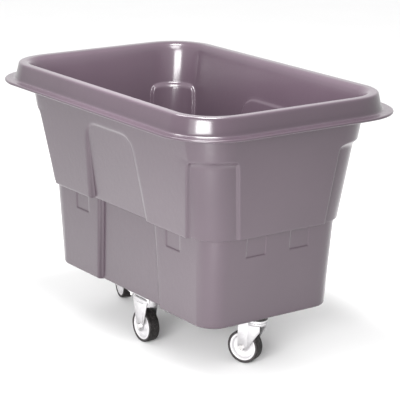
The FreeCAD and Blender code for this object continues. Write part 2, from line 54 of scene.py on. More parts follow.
def direction(azimuth, elevation):
    """The unit vector towards a place seen at that azimuth (from -Y towards +X) and elevation."""
    a, e = math.radians(azimuth), math.radians(elevation)
    return Vector((math.sin(a) * math.cos(e), -math.cos(a) * math.cos(e), math.sin(e)))


camera_target = Vector((0, 0, 0.425))
camera_distance = 5.183
camera_back = direction(54.57, 15.58)
camera_roll = math.radians(0.654)

camera_data = bpy.data.cameras.new("camera")
camera_data.lens = 151.0
camera_data.shift_x = 0.0237
camera_data.shift_y = 0.0013
camera = bpy.data.objects.new("camera", camera_data)
bpy.context.scene.collection.objects.link(camera)
camera.location = camera_target + camera_back * camera_distance
level_right = (-camera_back).cross(Vector((0, 0, 1))).normalized()
level_up = level_right.cross(-camera_back)
right = level_right * math.cos(camera_roll) + level_up * math.sin(camera_roll)
up = level_up * math.cos(camera_roll) - level_right * math.sin(camera_roll)
turn = camera.matrix_world.to_3x3()
for row in range(3):
    turn[row] = (right[row], up[row], camera_back[row])
camera.rotation_euler = turn.to_euler()
bpy.context.scene.camera = camera


class Socket:
    """One shader value; adding to it or multiplying it adds the Math nodes."""

    def __init__(self, maker, socket):
        self.maker, self.socket = maker, socket

    def maths(self, operation, *values):
        return self.maker.node("ShaderNodeMath", {"operation": operation}, dict(enumerate(values)))

    def __add__(self, other):
        return self.maths("ADD", self, other)

    def __radd__(self, other):
        return self.maths("ADD", other, self)

    def __mul__(self, other):
        return self.maths("MULTIPLY", self, other)

    def __rmul__(self, other):
        return self.maths("MULTIPLY", other, self)


class Finish:
    """A material and its Principled shader, with one method that adds any other node."""

    def __init__(self, name, **constants):
        self.material = bpy.data.materials.new(name)
        self.material.use_nodes = True
        self.tree = self.material.node_tree
        self.shader = self.tree.nodes["Principled BSDF"]
        for socket, value in constants.items():
            self.shader.inputs[socket.replace("_", " ").title().replace("Ior", "IOR")].default_value = value

    def node(self, kind, settings, values, output=0):
        made = self.tree.nodes.new(kind)
        stops = settings.pop("stops", None)
        for name, value in settings.items():
            setattr(made, name, value)
        if stops:
            ramp = made.color_ramp.elements
            while len(ramp) < len(stops):
                ramp.new(0.5)
            for element, (position, colour) in zip(ramp, stops):
                element.position, element.color = position, colour
        for name, value in values.items():
            if isinstance(value, Socket):
                self.tree.links.new(value.socket, made.inputs[name])
            else:
                made.inputs[name].default_value = value
        return Socket(self, made.outputs[output])

    def set(self, name, value):
        self.tree.links.new(value.socket, self.shader.inputs[name])

    def noise(self, scale, detail=2.0, roughness=0.5):
        place = self.node("ShaderNodeTexCoord", {}, {}, "Object")
        return self.node("ShaderNodeTexNoise", {}, {"Vector": place, "Scale": scale, "Detail": detail,
                                                    "Roughness": roughness})

    def ramp(self, value, *stops):
        return self.node("ShaderNodeValToRGB", {"stops": list(stops)}, {"Fac": value})

    def bump(self, height, distance, strength=1.0):
        self.set("Normal", self.node("ShaderNodeBump", {}, {"Height": height, "Distance": distance,
                                                            "Strength": strength}))


def grey(value):
    return (value, value, value, 1)


def softbox(name, azimuth, elevation, distance, width, height, power, target=(0, 0, 0.5)):
    """A rectangular lamp at that direction and distance from its target, facing it."""
    data = bpy.data.lights.new(name, "AREA")
    data.shape, data.size, data.size_y, data.energy = "RECTANGLE", width, height, power
    lamp = bpy.data.objects.new(name, data)
    bpy.context.scene.collection.objects.link(lamp)
    lamp.location = Vector(target) + direction(azimuth, elevation) * distance
    lamp.rotation_euler = direction(azimuth, elevation).to_track_quat("Z", "Y").to_euler()


softbox("key_softbox", 20, 14, 1.3, 0.8, 0.6, 6, target=(0.5, -0.3, 0.65))
softbox("corner_softbox", 36, 12, 2.9, 1.7, 0.6, 128, target=(0.5, -0.3, 0.7))
softbox("low_softbox", 44, -5, 1.6, 0.6, 0.2, 14, target=(0.5, -0.3, 0.27))
softbox("top_softbox", 40, 76, 2.6, 1.0, 1.0, 160)
softbox("inside_softbox", 50, 52, 0.85, 0.5, 0.4, 14, target=(-0.2, 0.1, 0.6))

world = bpy.data.worlds.new("studio")
bpy.context.scene.world = world
world.use_nodes = True
world.node_tree.nodes["Background"].inputs["Color"].default_value = (1, 1, 1, 1)
world.node_tree.nodes["Background"].inputs["Strength"].default_value = 1.15
bpy.context.scene.view_settings.view_transform = "Standard"

bpy.ops.object.select_all(action="DESELECT")
FLOOR_SIZE, BELOW_WHEELS = 60, 0.001
bpy.ops.mesh.primitive_plane_add(size=FLOOR_SIZE, location=(0, 0, -BELOW_WHEELS))
floor = bpy.context.object
floor.name = "floor"
floor_paint = Finish("floor_paint", roughness=0.9)
floor_paint.set("Base Color", floor_paint.ramp(floor_paint.noise(3.0), (0.0, grey(0.78)), (1.0, grey(0.80))))
floor.data.materials.append(floor_paint.material)


# ---- Tub ----
# One rotationally moulded polyethylene shell. Its walls lean out, step out at a ledge half way up,
# and end in a rim that turns out, down and out again; panels are sunk into its corners and sides.
# A quarter is laid out as a sheet of columns round the wall and rows up and over it, then mirrored.

UNDERSIDE, LEDGE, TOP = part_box("tub")[0].z, 0.438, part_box("tub")[1].z
LIP = Vector((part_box("tub")[1].x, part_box("tub")[1].y))
LOWER_FOOT, LOWER_TOP, LOWER_CORNER = Vector((0.418, 0.231)), Vector((0.442, 0.239)), 0.064
UPPER_FOOT, UPPER_TOP = Vector((0.461, 0.269)), Vector((0.506, 0.322))
UPPER_FOOT_CORNER, UPPER_TOP_CORNER = 0.098, 0.108
WALL, FLOOR_LEVEL, FOOT_ROUND, FLOOR_ROUND = 0.005, UNDERSIDE + 0.007, 0.008, 0.006
RIM_BAND, APRON_LEAN, LIP_DROP, LIP_THICK, LIP_CORNER = 0.032, 0.015, 0.053, 0.008, 0.165


def blend(low, high, share):
    return low + (high - low) * share


def upper_wall(z):
    share = (z - LEDGE) / (TOP - LEDGE)
    return blend(UPPER_FOOT, UPPER_TOP, share), blend(UPPER_FOOT_CORNER, UPPER_TOP_CORNER, share)


def lower_wall(z):
    return blend(LOWER_FOOT, LOWER_TOP, (z - UNDERSIDE) / (LEDGE - UNDERSIDE)), LOWER_CORNER


def apron(z):
    lean = APRON_LEAN * (TOP - z) / (LIP_DROP + LIP_THICK)
    return UPPER_TOP + Vector((RIM_BAND + lean, RIM_BAND + lean)), UPPER_TOP_CORNER + RIM_BAND + lean


def lip(z):
    return LIP, LIP_CORNER


# The panels: how high, deep and round they are, and where their sides stand at foot and top.
CORNER_PANEL_TOP, CORNER_PANEL_DEPTH, CORNER_PANEL_ROUND = 0.682, 0.011, 0.024
CORNER_PANEL_X, CORNER_PANEL_Y = (0.358, 0.403), (0.155, 0.183)
MIDDLE_PANEL_TOP, MIDDLE_PANEL_DEPTH, MIDDLE_PANEL_ROUND = 0.692, (0.015, 0.003), 0.045
UPPER_MIDDLE_HALF, LOWER_MIDDLE_HALF = (0.154, 0.122), (0.169, 0.150)
LOWER_PANEL_DEPTH, STEP_RUN, EDGE, PANELS_END = 0.014, 0.0035, 0.0022, 0.75
POCKET_FOOT, POCKET_DEPTH, POCKET_RUN, POCKET_EDGE = LEDGE - 0.065, 0.002, 0.0012, 0.003
POCKET_HALF, POCKET_ALONG_X, POCKET_ALONG_Y = 0.035, 0.248, 0.079


def middle_side(z):
    """Half the width of the middle panels: the upper one narrows upwards, and the lower one too."""
    if z < LEDGE:
        return blend(*LOWER_MIDDLE_HALF, (z - UNDERSIDE) / (LEDGE - UNDERSIDE))
    return blend(*UPPER_MIDDLE_HALF, min((z - LEDGE) / (MIDDLE_PANEL_TOP - LEDGE), 1.05))


def corner_side(foot_and_top, z):
    return blend(*foot_and_top, min(max((z - LEDGE) / (CORNER_PANEL_TOP - LEDGE), 0), 1))


def middle_depth(z):
    return blend(*MIDDLE_PANEL_DEPTH, (z - LEDGE) / (MIDDLE_PANEL_TOP - LEDGE))


class Outline:
    """A quarter of a round-cornered rectangle, walked from the middle of the long side."""

    def __init__(self, half, corner):
        self.a, self.b, self.r = half.x, half.y, corner
        self.side, self.end = self.a - self.r, self.b - self.r
        self.length = self.side + self.r * math.pi / 2 + self.end

    def at_x(self, x):
        if x <= self.side:
            return x
        return self.side + self.r * math.asin(min((x - self.side) / self.r, 1))

    def at_y(self, y):
        if y <= self.end:
            return self.length - y
        return self.length - self.end - self.r * math.asin(min((y - self.end) / self.r, 1))

    def point(self, walked, inset):
        """The point that far along, moved inwards by inset."""
        if walked <= self.side:
            return walked, self.b - inset
        if walked >= self.length - self.end:
            return self.a - inset, self.length - walked
        angle = (walked - self.side) / self.r
        reach = self.r - inset
        return self.side + reach * math.sin(angle), self.end + reach * math.cos(angle)


# Columns: (kind, which edge it belongs to, offset from it), walking from the middle of the long side
# to the middle of the short one. Each panel's edge is a step between two close columns.
MIDDLE, POCKET_X, CORNER_X, ARC, CORNER_Y, POCKET_Y = range(6)
POCKETS = {POCKET_X: POCKET_ALONG_X, POCKET_Y: POCKET_ALONG_Y}
BESIDE_MIDDLE, BESIDE_CORNER = 0.045, 0.024


def pocket_columns(kind, heading):
    """A pocket's two edges and its middle; heading is 1 where the walk goes up the axis, else -1."""
    offsets = [step - POCKET_HALF for step in (-POCKET_EDGE, 0, POCKET_RUN, POCKET_RUN + POCKET_EDGE)]
    offsets += [0] + [-offset for offset in reversed(offsets)]
    return [(kind, POCKETS[kind], offset * heading) for offset in offsets]


columns = [(MIDDLE, None, share) for share in (0, 1 / 3, 2 / 3)]
columns += [(MIDDLE, 0, offset) for offset in (-BESIDE_MIDDLE, -0.028, -STEP_RUN - EDGE, -STEP_RUN, 0, EDGE)]
columns += pocket_columns(POCKET_X, 1)
columns += [(CORNER_X, 0, offset) for offset in (-0.03, -EDGE, 0, STEP_RUN, STEP_RUN + EDGE, BESIDE_CORNER)]
columns += [(ARC, None, share) for share in (0.2, 0.4, 0.6, 0.8)]
columns += [(CORNER_Y, 0, offset) for offset in (-BESIDE_CORNER, -STEP_RUN - EDGE, -STEP_RUN, 0, EDGE, 0.02)]
columns += pocket_columns(POCKET_Y, -1)
columns += [(POCKET_Y, 0.0, 0)]


def walked_to(column, outline, z, grow):
    """How far along the outline a column stands; grow widens the panels on the inside of the wall."""
    kind, place, offset = column
    left = outline.at_x(corner_side(CORNER_PANEL_X, z) - grow)
    right = outline.at_y(corner_side(CORNER_PANEL_Y, z) - grow)
    if kind == MIDDLE:
        side = middle_side(z) + grow
        return (side - BESIDE_MIDDLE) * offset if place is None else side + offset
    if kind == POCKET_X:
        return place + offset
    if kind == CORNER_X:
        return left + offset
    if kind == ARC:
        return blend(left + BESIDE_CORNER, right - BESIDE_CORNER, offset)
    if kind == CORNER_Y:
        return right + offset
    return outline.at_y(place + offset)


# Rows: (height, wall, inset, whether it is on the inside, share of the way out from the middle),
# from the middle of the underside up the outside, over the rim, down the inside and across the floor.
rows = []


def add_row(z, wall, inset=0.0, inside=False, scale=1.0):
    rows.append((z, wall, inset, inside, scale))


round_z = FOOT_ROUND * (1 - math.sqrt(0.5))
for scale in (0.0, 0.35, 0.7):
    add_row(UNDERSIDE, lower_wall, FOOT_ROUND, scale=scale)
add_row(UNDERSIDE, lower_wall, FOOT_ROUND + 0.004)
add_row(UNDERSIDE, lower_wall, FOOT_ROUND * 0.72)
add_row(UNDERSIDE + round_z * 0.8, lower_wall, round_z * 0.8)
add_row(UNDERSIDE + FOOT_ROUND * 0.72, lower_wall)
for z in (0.186, 0.25, 0.31, POCKET_FOOT - 0.02, POCKET_FOOT - POCKET_EDGE, POCKET_FOOT,
          POCKET_FOOT + POCKET_RUN, POCKET_FOOT + POCKET_RUN + POCKET_EDGE, 0.40, 0.425,
          LEDGE - 0.004, LEDGE):
    add_row(z, lower_wall)
rows.append("ledge")
for z in (LEDGE, LEDGE + 0.004, LEDGE + 0.02, 0.52, 0.59, MIDDLE_PANEL_TOP - MIDDLE_PANEL_ROUND,
          CORNER_PANEL_TOP - CORNER_PANEL_ROUND, 0.668, CORNER_PANEL_TOP - STEP_RUN * 0.8,
          CORNER_PANEL_TOP, MIDDLE_PANEL_TOP - 0.004, MIDDLE_PANEL_TOP, MIDDLE_PANEL_TOP + 0.006,
          0.73, 0.77, 0.806):
    add_row(z, upper_wall)
add_row(TOP - 0.006, upper_wall, -0.003)
add_row(TOP - 0.006, apron, 0.009)
add_row(TOP - 0.010, apron, 0.006)
for z in (0.79, TOP - LIP_DROP - LIP_THICK + 0.003):
    add_row(z, apron, 0.006)
add_row(TOP - LIP_DROP - LIP_THICK, apron, 0.003)
for inset in (0.006, 0.002):
    add_row(TOP - LIP_DROP - LIP_THICK, lip, inset)
add_row(TOP - LIP_DROP - LIP_THICK + 0.002, lip, 0.0)
add_row(TOP - LIP_DROP - 0.002, lip, 0.0)
for inset in (0.002, 0.007):
    add_row(TOP - LIP_DROP, lip, inset)
add_row(TOP - LIP_DROP, apron, -0.007)
add_row(TOP - LIP_DROP + 0.001, apron, -0.002)
add_row(TOP - LIP_DROP + 0.004, apron, -0.0003)
for z in (TOP - LIP_DROP + 0.010, 0.796, TOP - 0.009, TOP - 0.004):
    add_row(z, apron, 0.0)
add_row(TOP - 0.0012, apron, 0.0016)
add_row(TOP, apron, 0.005)
add_row(TOP, apron, 0.012)
add_row(TOP, upper_wall, -0.012)
add_row(TOP - 0.0006, upper_wall, -0.006)
add_row(TOP - 0.004, upper_wall, -0.001, inside=True)
add_row(TOP - 0.010, upper_wall, 0.0035, inside=True)
for z in (0.80, 0.76, MIDDLE_PANEL_TOP + 0.011, MIDDLE_PANEL_TOP + WALL, CORNER_PANEL_TOP + WALL + 0.004,
          CORNER_PANEL_TOP + WALL, CORNER_PANEL_TOP, 0.673, CORNER_PANEL_TOP - 0.019, 0.652, 0.59, 0.52,
          LEDGE + 0.02, LEDGE + WALL + 0.004, LEDGE + WALL):
    add_row(z, upper_wall, WALL, inside=True)
rows.append("inner ledge")
for z in (LEDGE + WALL, LEDGE + WALL - 0.004, 0.42, 0.36, 0.29, 0.22, FLOOR_LEVEL + FLOOR_ROUND):
    add_row(z, lower_wall, WALL, inside=True)
floor_z = FLOOR_ROUND * (1 - math.sqrt(0.5))
add_row(FLOOR_LEVEL + floor_z * 0.8, lower_wall, WALL + floor_z * 0.8, inside=True)
for inset in (0.0, 0.008):
    add_row(FLOOR_LEVEL, lower_wall, WALL + FLOOR_ROUND + inset, inside=True)
for scale in (0.7, 0.35, 0.0):
    add_row(FLOOR_LEVEL, lower_wall, WALL + FLOOR_ROUND, inside=True, scale=scale)


HAIR = 1e-6


def panel_depth(column, z, lower, inside):
    """How far the panels push the wall in at a column and height."""
    kind, place, offset = column
    grow = WALL if inside else 0.0
    in_middle = kind == MIDDLE and (place is None or offset < HAIR - STEP_RUN)
    if lower:
        if in_middle:
            return LOWER_PANEL_DEPTH
        within = POCKET_HALF - POCKET_RUN + HAIR
        in_pocket = kind in POCKETS and abs(place + offset - POCKETS[kind]) < within
        return POCKET_DEPTH if in_pocket and z > POCKET_FOOT + POCKET_RUN - HAIR and not inside else 0.0
    if in_middle and z < MIDDLE_PANEL_TOP + grow - 0.003:
        return middle_depth(z)
    in_corner = kind == ARC or (kind == CORNER_X and offset > STEP_RUN - HAIR)
    in_corner = in_corner or (kind == CORNER_Y and offset < HAIR - STEP_RUN)
    if in_corner and z < CORNER_PANEL_TOP + grow - 0.003:
        return CORNER_PANEL_DEPTH
    return 0.0


def rounded(along, height, radius, reach):
    """Moves a place near a square corner so that lines round the corner become arcs."""
    if along <= 0 or height <= 0:
        return along, height
    square, straight = max(along, height), math.hypot(along, height)
    fade = min(max((square - radius - 0.008) / reach, 0), 1)
    factor = blend(square / straight, 1, fade)
    return along * factor, height * factor


def tub_point(column, row):
    z, wall, inset, inside, scale = row
    grow = WALL if inside else 0.0
    has_panels = wall is upper_wall and z < PANELS_END
    outline = Outline(*wall(z))
    walked = walked_to(column, outline, z, grow)
    depth = 0.0
    if wall is lower_wall or has_panels:
        depth = panel_depth(column, z, wall is lower_wall, inside)
    if has_panels:
        left, right = corner_side(CORNER_PANEL_X, z) - grow, corner_side(CORNER_PANEL_Y, z) - grow
        corners = ((middle_side(z) + grow, 1, MIDDLE_PANEL_TOP + grow, MIDDLE_PANEL_ROUND + grow),
                   (outline.at_x(left), -1, CORNER_PANEL_TOP + grow, CORNER_PANEL_ROUND + grow),
                   (outline.at_y(right), 1, CORNER_PANEL_TOP + grow, CORNER_PANEL_ROUND + grow))
        for side, sign, top, radius in corners:
            along = sign * (walked - side) + radius
            height = z - top + radius
            if 0 < along < radius * 3 and 0 < height:
                along, height = rounded(along, height, radius, 0.03)
                walked = side + sign * (along - radius)
                z = height + top - radius
        outline = Outline(*wall(z))
    x, y = outline.point(walked, inset + depth)
    return Vector((x * scale, y * scale, z))


def ledge_point(column, share, first, last):
    return blend(tub_point(column, first), tub_point(column, last), share)


full_rows = []
for index, row in enumerate(rows):
    if isinstance(row, str):
        for share in (0.16, 0.84):
            full_rows.append(("between", share, rows[index - 1], rows[index + 1]))
    else:
        full_rows.append(row)

bpy.ops.object.select_all(action="DESELECT")
bpy.ops.mesh.primitive_grid_add(x_subdivisions=len(columns) - 1, y_subdivisions=len(full_rows) - 1, size=2)
tub = bpy.context.object
tub.name = "tub_shell"
for vertex in tub.data.vertices:
    column = round((vertex.co.x + 1) / 2 * (len(columns) - 1))
    row = full_rows[round((vertex.co.y + 1) / 2 * (len(full_rows) - 1))]
    if row[0] == "between":
        vertex.co = ledge_point(columns[column], *row[1:])
    else:
        vertex.co = tub_point(columns[column], row)


def finish_mirrored(piece, merge):
    """Mirrors a +X +Y quarter to the other three and closes the shell."""
    bpy.context.view_layer.objects.active = piece
    bpy.ops.object.mode_set(mode="EDIT")
    bpy.ops.mesh.select_all(action="SELECT")
    bpy.ops.mesh.remove_doubles(threshold=merge)
    bpy.ops.object.mode_set(mode="OBJECT")
    mirror = piece.modifiers.new("mirror", "MIRROR")
    mirror.use_axis[0], mirror.use_axis[1] = True, True
    mirror.merge_threshold = merge
    bpy.ops.object.modifier_apply(modifier="mirror")
    bpy.ops.object.mode_set(mode="EDIT")
    bpy.ops.mesh.select_all(action="SELECT")
    bpy.ops.mesh.remove_doubles(threshold=merge)
    bpy.ops.mesh.normals_make_consistent(inside=False)
    bpy.ops.object.mode_set(mode="OBJECT")


def subdivide(piece, levels):
    bpy.context.view_layer.objects.active = piece
    smooth = piece.modifiers.new("smooth", "SUBSURF")
    smooth.levels, smooth.render_levels = levels, levels
    bpy.ops.object.modifier_apply(modifier="smooth")
    piece.data.shade_smooth()


finish_mirrored(tub, 0.00005)
subdivide(tub, 1)

tub_plastic = Finish("tub_plastic", specular_ior_level=0.15, coat_weight=0.66, coat_roughness=0.17)
mottle = tub_plastic.noise(2.2, 3.0)
tub_plastic.set("Base Color", tub_plastic.ramp(mottle, (0.3, (0.044, 0.030, 0.040, 1)),
                                               (0.7, (0.053, 0.037, 0.048, 1))))
tub_plastic.set("Roughness", 0.25 + tub_plastic.noise(9.0, 4.0) * 0.1)
grain = tub_plastic.noise(420.0, 2.0) + tub_plastic.noise(60.0, 2.0) * 1.5
tub_plastic.bump(grain, 0.0004, 0.6)
tub.data.materials.append(tub_plastic.material)
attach(tub, "root")
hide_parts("tub")


# ---- Wheels: tyres and hubs ----
# A black rubber tyre moulded round a white nylon hub, on plain bushes, four alike. The tyre has
# rounded shoulders; the hub has an outer ring, a sunk web, a groove and a boss round the bearing.

WHEEL_R, TREAD, TYRE_DEPTH, SIDEWALL_R = 0.051, 0.036, 0.008, 0.0475
HUB_R, HUB_WIDTH, HUB_RING, WEB = WHEEL_R - TYRE_DEPTH, 0.032, 0.0055, 0.009
BOSS_R, BORE_R, BOSS_HALF, GROOVE_R = 0.015, 0.0105, 0.019, 0.0282


def turned(name, profile, around=72):
    """A ring turned about Z from a closed profile of (radius, height) points."""
    bpy.ops.object.select_all(action="DESELECT")
    radius, height = profile[0]
    bpy.ops.mesh.primitive_circle_add(vertices=around, radius=radius, location=(0, 0, 0))
    piece = bpy.context.object
    piece.name = name
    bpy.ops.object.mode_set(mode="EDIT")
    bpy.ops.mesh.select_all(action="SELECT")
    bpy.ops.transform.translate(value=(0, 0, height))
    for next_radius, next_height in profile[1:] + profile[:1]:
        bpy.ops.mesh.extrude_region_move(TRANSFORM_OT_translate={"value": (0, 0, next_height - height)})
        share = next_radius / radius
        bpy.ops.transform.resize(value=(share, share, 1), center_override=(0, 0, next_height))
        radius, height = next_radius, next_height
    bpy.ops.mesh.select_all(action="SELECT")
    bpy.ops.mesh.remove_doubles(threshold=0.00002)
    bpy.ops.mesh.normals_make_consistent(inside=False)
    bpy.ops.object.mode_set(mode="OBJECT")
    return piece


def settle(piece, where, yaw=0.0, lie=False):
    """Turns a piece about Z, first laying its Z axis along Y if it lies, and fixes its place."""
    bpy.ops.object.select_all(action="DESELECT")
    piece.select_set(True)
    bpy.context.view_layer.objects.active = piece
    if lie:
        piece.rotation_euler = (math.radians(90), 0, 0)
        bpy.ops.object.transform_apply(location=False, rotation=True, scale=False)
    piece.location, piece.rotation_euler = where, (0, 0, yaw)
    bpy.ops.object.transform_apply(location=True, rotation=True, scale=False)


def both_faces(half_profile):
    """A closed profile from one face's points, running outwards along it."""
    return half_profile + [(radius, -height) for radius, height in reversed(half_profile)]


def smooth_by_angle(piece, degrees):
    bpy.ops.object.select_all(action="DESELECT")
    piece.select_set(True)
    bpy.context.view_layer.objects.active = piece
    bpy.ops.object.shade_smooth_by_angle(angle=math.radians(degrees))


tyre_rubber = Finish("tyre_rubber", specular_ior_level=0.2)
scuff = tyre_rubber.noise(160.0, 4.0, 0.7)
tyre_rubber.set("Base Color", tyre_rubber.ramp(scuff, (0.5, (0.006, 0.005, 0.005, 1)),
                                               (0.66, (0.040, 0.036, 0.036, 1))))
tyre_rubber.set("Roughness", 0.42 + tyre_rubber.noise(40.0, 3.0) * 0.25)
tyre_rubber.bump(tyre_rubber.noise(900.0, 3.0), 0.00015, 0.6)

tyre_side = Finish("tyre_side", specular_ior_level=0.3)
dust = tyre_side.noise(90.0, 3.0)
tyre_side.set("Base Color", tyre_side.ramp(dust, (0.35, (0.024, 0.021, 0.022, 1)),
                                           (0.7, (0.040, 0.036, 0.038, 1))))
tyre_side.set("Roughness", 0.5 + tyre_side.noise(55.0, 3.0) * 0.2)
tyre_side.bump(tyre_side.noise(700.0, 2.0), 0.0001, 0.5)

hub_plastic = Finish("hub_plastic", specular_ior_level=0.55)
flow = hub_plastic.noise(30.0, 3.0)
hub_plastic.set("Base Color", hub_plastic.ramp(flow, (0.3, (0.44, 0.43, 0.44, 1)),
                                               (0.7, (0.50, 0.49, 0.50, 1))))
hub_plastic.set("Roughness", 0.32 + hub_plastic.noise(120.0, 2.0) * 0.12)
hub_plastic.bump(hub_plastic.noise(500.0, 2.0), 0.00008, 0.4)

half_tread, half_hub, half_web = TREAD / 2, HUB_WIDTH / 2, WEB / 2
ring = HUB_R - HUB_RING
tyre_face = [(HUB_R, half_tread - 0.0015), (HUB_R + 0.0006, half_tread - 0.0003),
             (HUB_R + 0.0015, half_tread), (SIDEWALL_R, half_tread), (0.0487, half_tread - 0.0003),
             (0.0498, half_tread - 0.0010), (0.0505, half_tread - 0.0022), (0.0508, half_tread - 0.0040),
             (WHEEL_R, half_tread - 0.007), (WHEEL_R, 0.002)]
hub_face = [(BORE_R, BOSS_HALF - 0.0006), (BORE_R + 0.0006, BOSS_HALF), (BOSS_R - 0.0022, BOSS_HALF),
            (BOSS_R - 0.0006, BOSS_HALF - 0.0008), (BOSS_R, BOSS_HALF - 0.0025),
            (BOSS_R + 0.0015, half_web + 0.004), (BOSS_R + 0.003, half_web + 0.001),
            (BOSS_R + 0.005, half_web), (GROOVE_R, half_web), (GROOVE_R + 0.0004, half_web - 0.0008),
            (GROOVE_R + 0.0014, half_web - 0.0008), (GROOVE_R + 0.0018, half_web),
            (ring - 0.0055, half_web + 0.0002), (ring - 0.0035, half_web + 0.0015),
            (ring - 0.0018, half_web + 0.006), (ring - 0.0004, half_hub - 0.001),
            (ring + 0.001, half_hub), (HUB_R - 0.0006, half_hub), (HUB_R, half_hub - 0.0006)]

spins = {joint["name"]: joint for joint in frame["joints"]}
wheel_centres, wheel_yaws = {}, {}
for caster in ("front", "rear", "left", "right"):
    low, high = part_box(caster + "_tyre")
    centre = (low + high) / 2
    axis = spins[caster + "_wheel_spin"]["axis"]
    yaw = math.atan2(-axis[0], axis[1])
    wheel_centres[caster], wheel_yaws[caster] = centre, yaw
    tyre = turned(caster + "_tyre_ring", both_faces(tyre_face), 96)
    tyre.data.materials.append(tyre_rubber.material)
    tyre.data.materials.append(tyre_side.material)
    for face in tyre.data.polygons:
        out = math.hypot(face.center.x, face.center.y)
        on_side = out < SIDEWALL_R + 0.0007 and abs(face.center.z) > half_tread - 0.006
        face.material_index = 1 if on_side else 0
    hub = turned(caster + "_hub_disc", both_faces(hub_face), 96)
    hub.data.materials.append(hub_plastic.material)
    for piece, node, slot in ((tyre, "_tyre", "tyre_rubber"), (hub, "_hub", "hub_plastic")):
        smooth_by_angle(piece, 32)
        settle(piece, centre, yaw, lie=True)
        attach(piece, caster + "_wheel")
        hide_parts(caster + node)


# ---- Swivel forks ----
# Pressed from zinc-plated steel: a crown with a turned-down skirt, and two legs with a raised rib
# that runs down to the axle. The fork turns under the plate on two rings of balls.

caster_zinc = Finish("caster_zinc", metallic=1.0, specular_ior_level=0.5)
plating = caster_zinc.noise(45.0, 4.0, 0.6)
caster_zinc.set("Base Color", caster_zinc.ramp(plating, (0.3, (0.42, 0.41, 0.42, 1)),
                                               (0.7, (0.56, 0.55, 0.56, 1))))
caster_zinc.set("Roughness", 0.24 + caster_zinc.noise(80.0, 4.0) * 0.14)
caster_zinc.bump(caster_zinc.noise(260.0, 3.0), 0.00012, 0.35)

STEEL, GAP_HALF, LEG_END_R, TRAIL = 0.003, 0.020, 0.018, 0.040
LEG_END = (0.004 - TRAIL, WHEEL_R + 0.009)
DECK_TOP, FORK_FRONT, SHOULDER = 0.143, 0.020, 0.109
SKIRT_R, SKIRT_FOOT, RAISED_R = 0.031, 0.126, 0.027
KINGPIN_HOLE_R, RIB_RAISED, RIB_HALF = 0.007, 0.0014, 0.0165


def touching(x, z, centre, radius, side):
    """The angle on the leg's round end where a line from (x, z) touches it."""
    dx, dz = x - centre[0], z - centre[1]
    return math.degrees(math.atan2(dz, dx) + side * math.acos(radius / math.hypot(dx, dz)))


def round_end(centre, radius, first, last, steps=14):
    """Points round the leg's foot, from one angle to the other."""
    angles = [math.radians(blend(first, last, step / steps)) for step in range(steps + 1)]
    return [(centre[0] + radius * math.cos(a), centre[1] + radius * math.sin(a)) for a in angles]


def cut_plate(name, points, start_y, thickness, bevel):
    """A plate with that side outline, standing along XZ, with its edges rounded."""
    bpy.ops.object.select_all(action="DESELECT")
    bpy.ops.mesh.primitive_circle_add(vertices=len(points), radius=0.01, location=(0, 0, 0))
    piece = bpy.context.object
    piece.name = name
    for vertex, (x, z) in zip(piece.data.vertices, points):
        vertex.co = (x, start_y, z)
    bpy.ops.object.mode_set(mode="EDIT")
    bpy.ops.mesh.select_all(action="SELECT")
    bpy.ops.mesh.edge_face_add()
    bpy.ops.mesh.extrude_region_move(TRANSFORM_OT_translate={"value": (0, thickness, 0)})
    bpy.ops.mesh.select_all(action="SELECT")
    bpy.ops.mesh.normals_make_consistent(inside=False)
    bpy.ops.object.mode_set(mode="OBJECT")
    soften(piece, bevel)
    return piece


def soften(piece, width, segments=3):
    bpy.context.view_layer.objects.active = piece
    edge = piece.modifiers.new("soft_edges", "BEVEL")
    edge.width, edge.segments = width, segments
    edge.limit_method, edge.angle_limit = "ANGLE", math.radians(40)
    bpy.ops.object.modifier_apply(modifier="soft_edges")


def joined(pieces, name):
    bpy.ops.object.select_all(action="DESELECT")
    for piece in pieces:
        piece.select_set(True)
    bpy.context.view_layer.objects.active = pieces[0]
    bpy.ops.object.join()
    pieces[0].name = name
    return pieces[0]


def leg_pair(outline, rib):
    """Two legs astride the wheel, each with a raised rib on its outer face."""
    pieces = []
    for side in (1, -1):
        inner = GAP_HALF if side > 0 else -GAP_HALF - STEEL
        pieces.append(cut_plate("leg", outline, inner, STEEL, 0.0007))
        outside = GAP_HALF + STEEL / 2 if side > 0 else -GAP_HALF - STEEL - RIB_RAISED
        pieces.append(cut_plate("rib", rib, outside, STEEL / 2 + RIB_RAISED, 0.0012))
    return pieces


rear_edge = LEG_END[0] - LEG_END_R
touch_angle = touching(FORK_FRONT, SHOULDER, LEG_END, LEG_END_R, -1)
swivel_outline = [(FORK_FRONT, DECK_TOP), (rear_edge, DECK_TOP)]
swivel_outline += round_end(LEG_END, LEG_END_R, 180, 360 + touch_angle)
swivel_outline += [(FORK_FRONT, SHOULDER)]
rib_outline = [(LEG_END[0] + RIB_HALF, DECK_TOP - 0.004), (LEG_END[0] - RIB_HALF, DECK_TOP - 0.004)]
rib_outline += round_end(LEG_END, RIB_HALF, 180, 360)

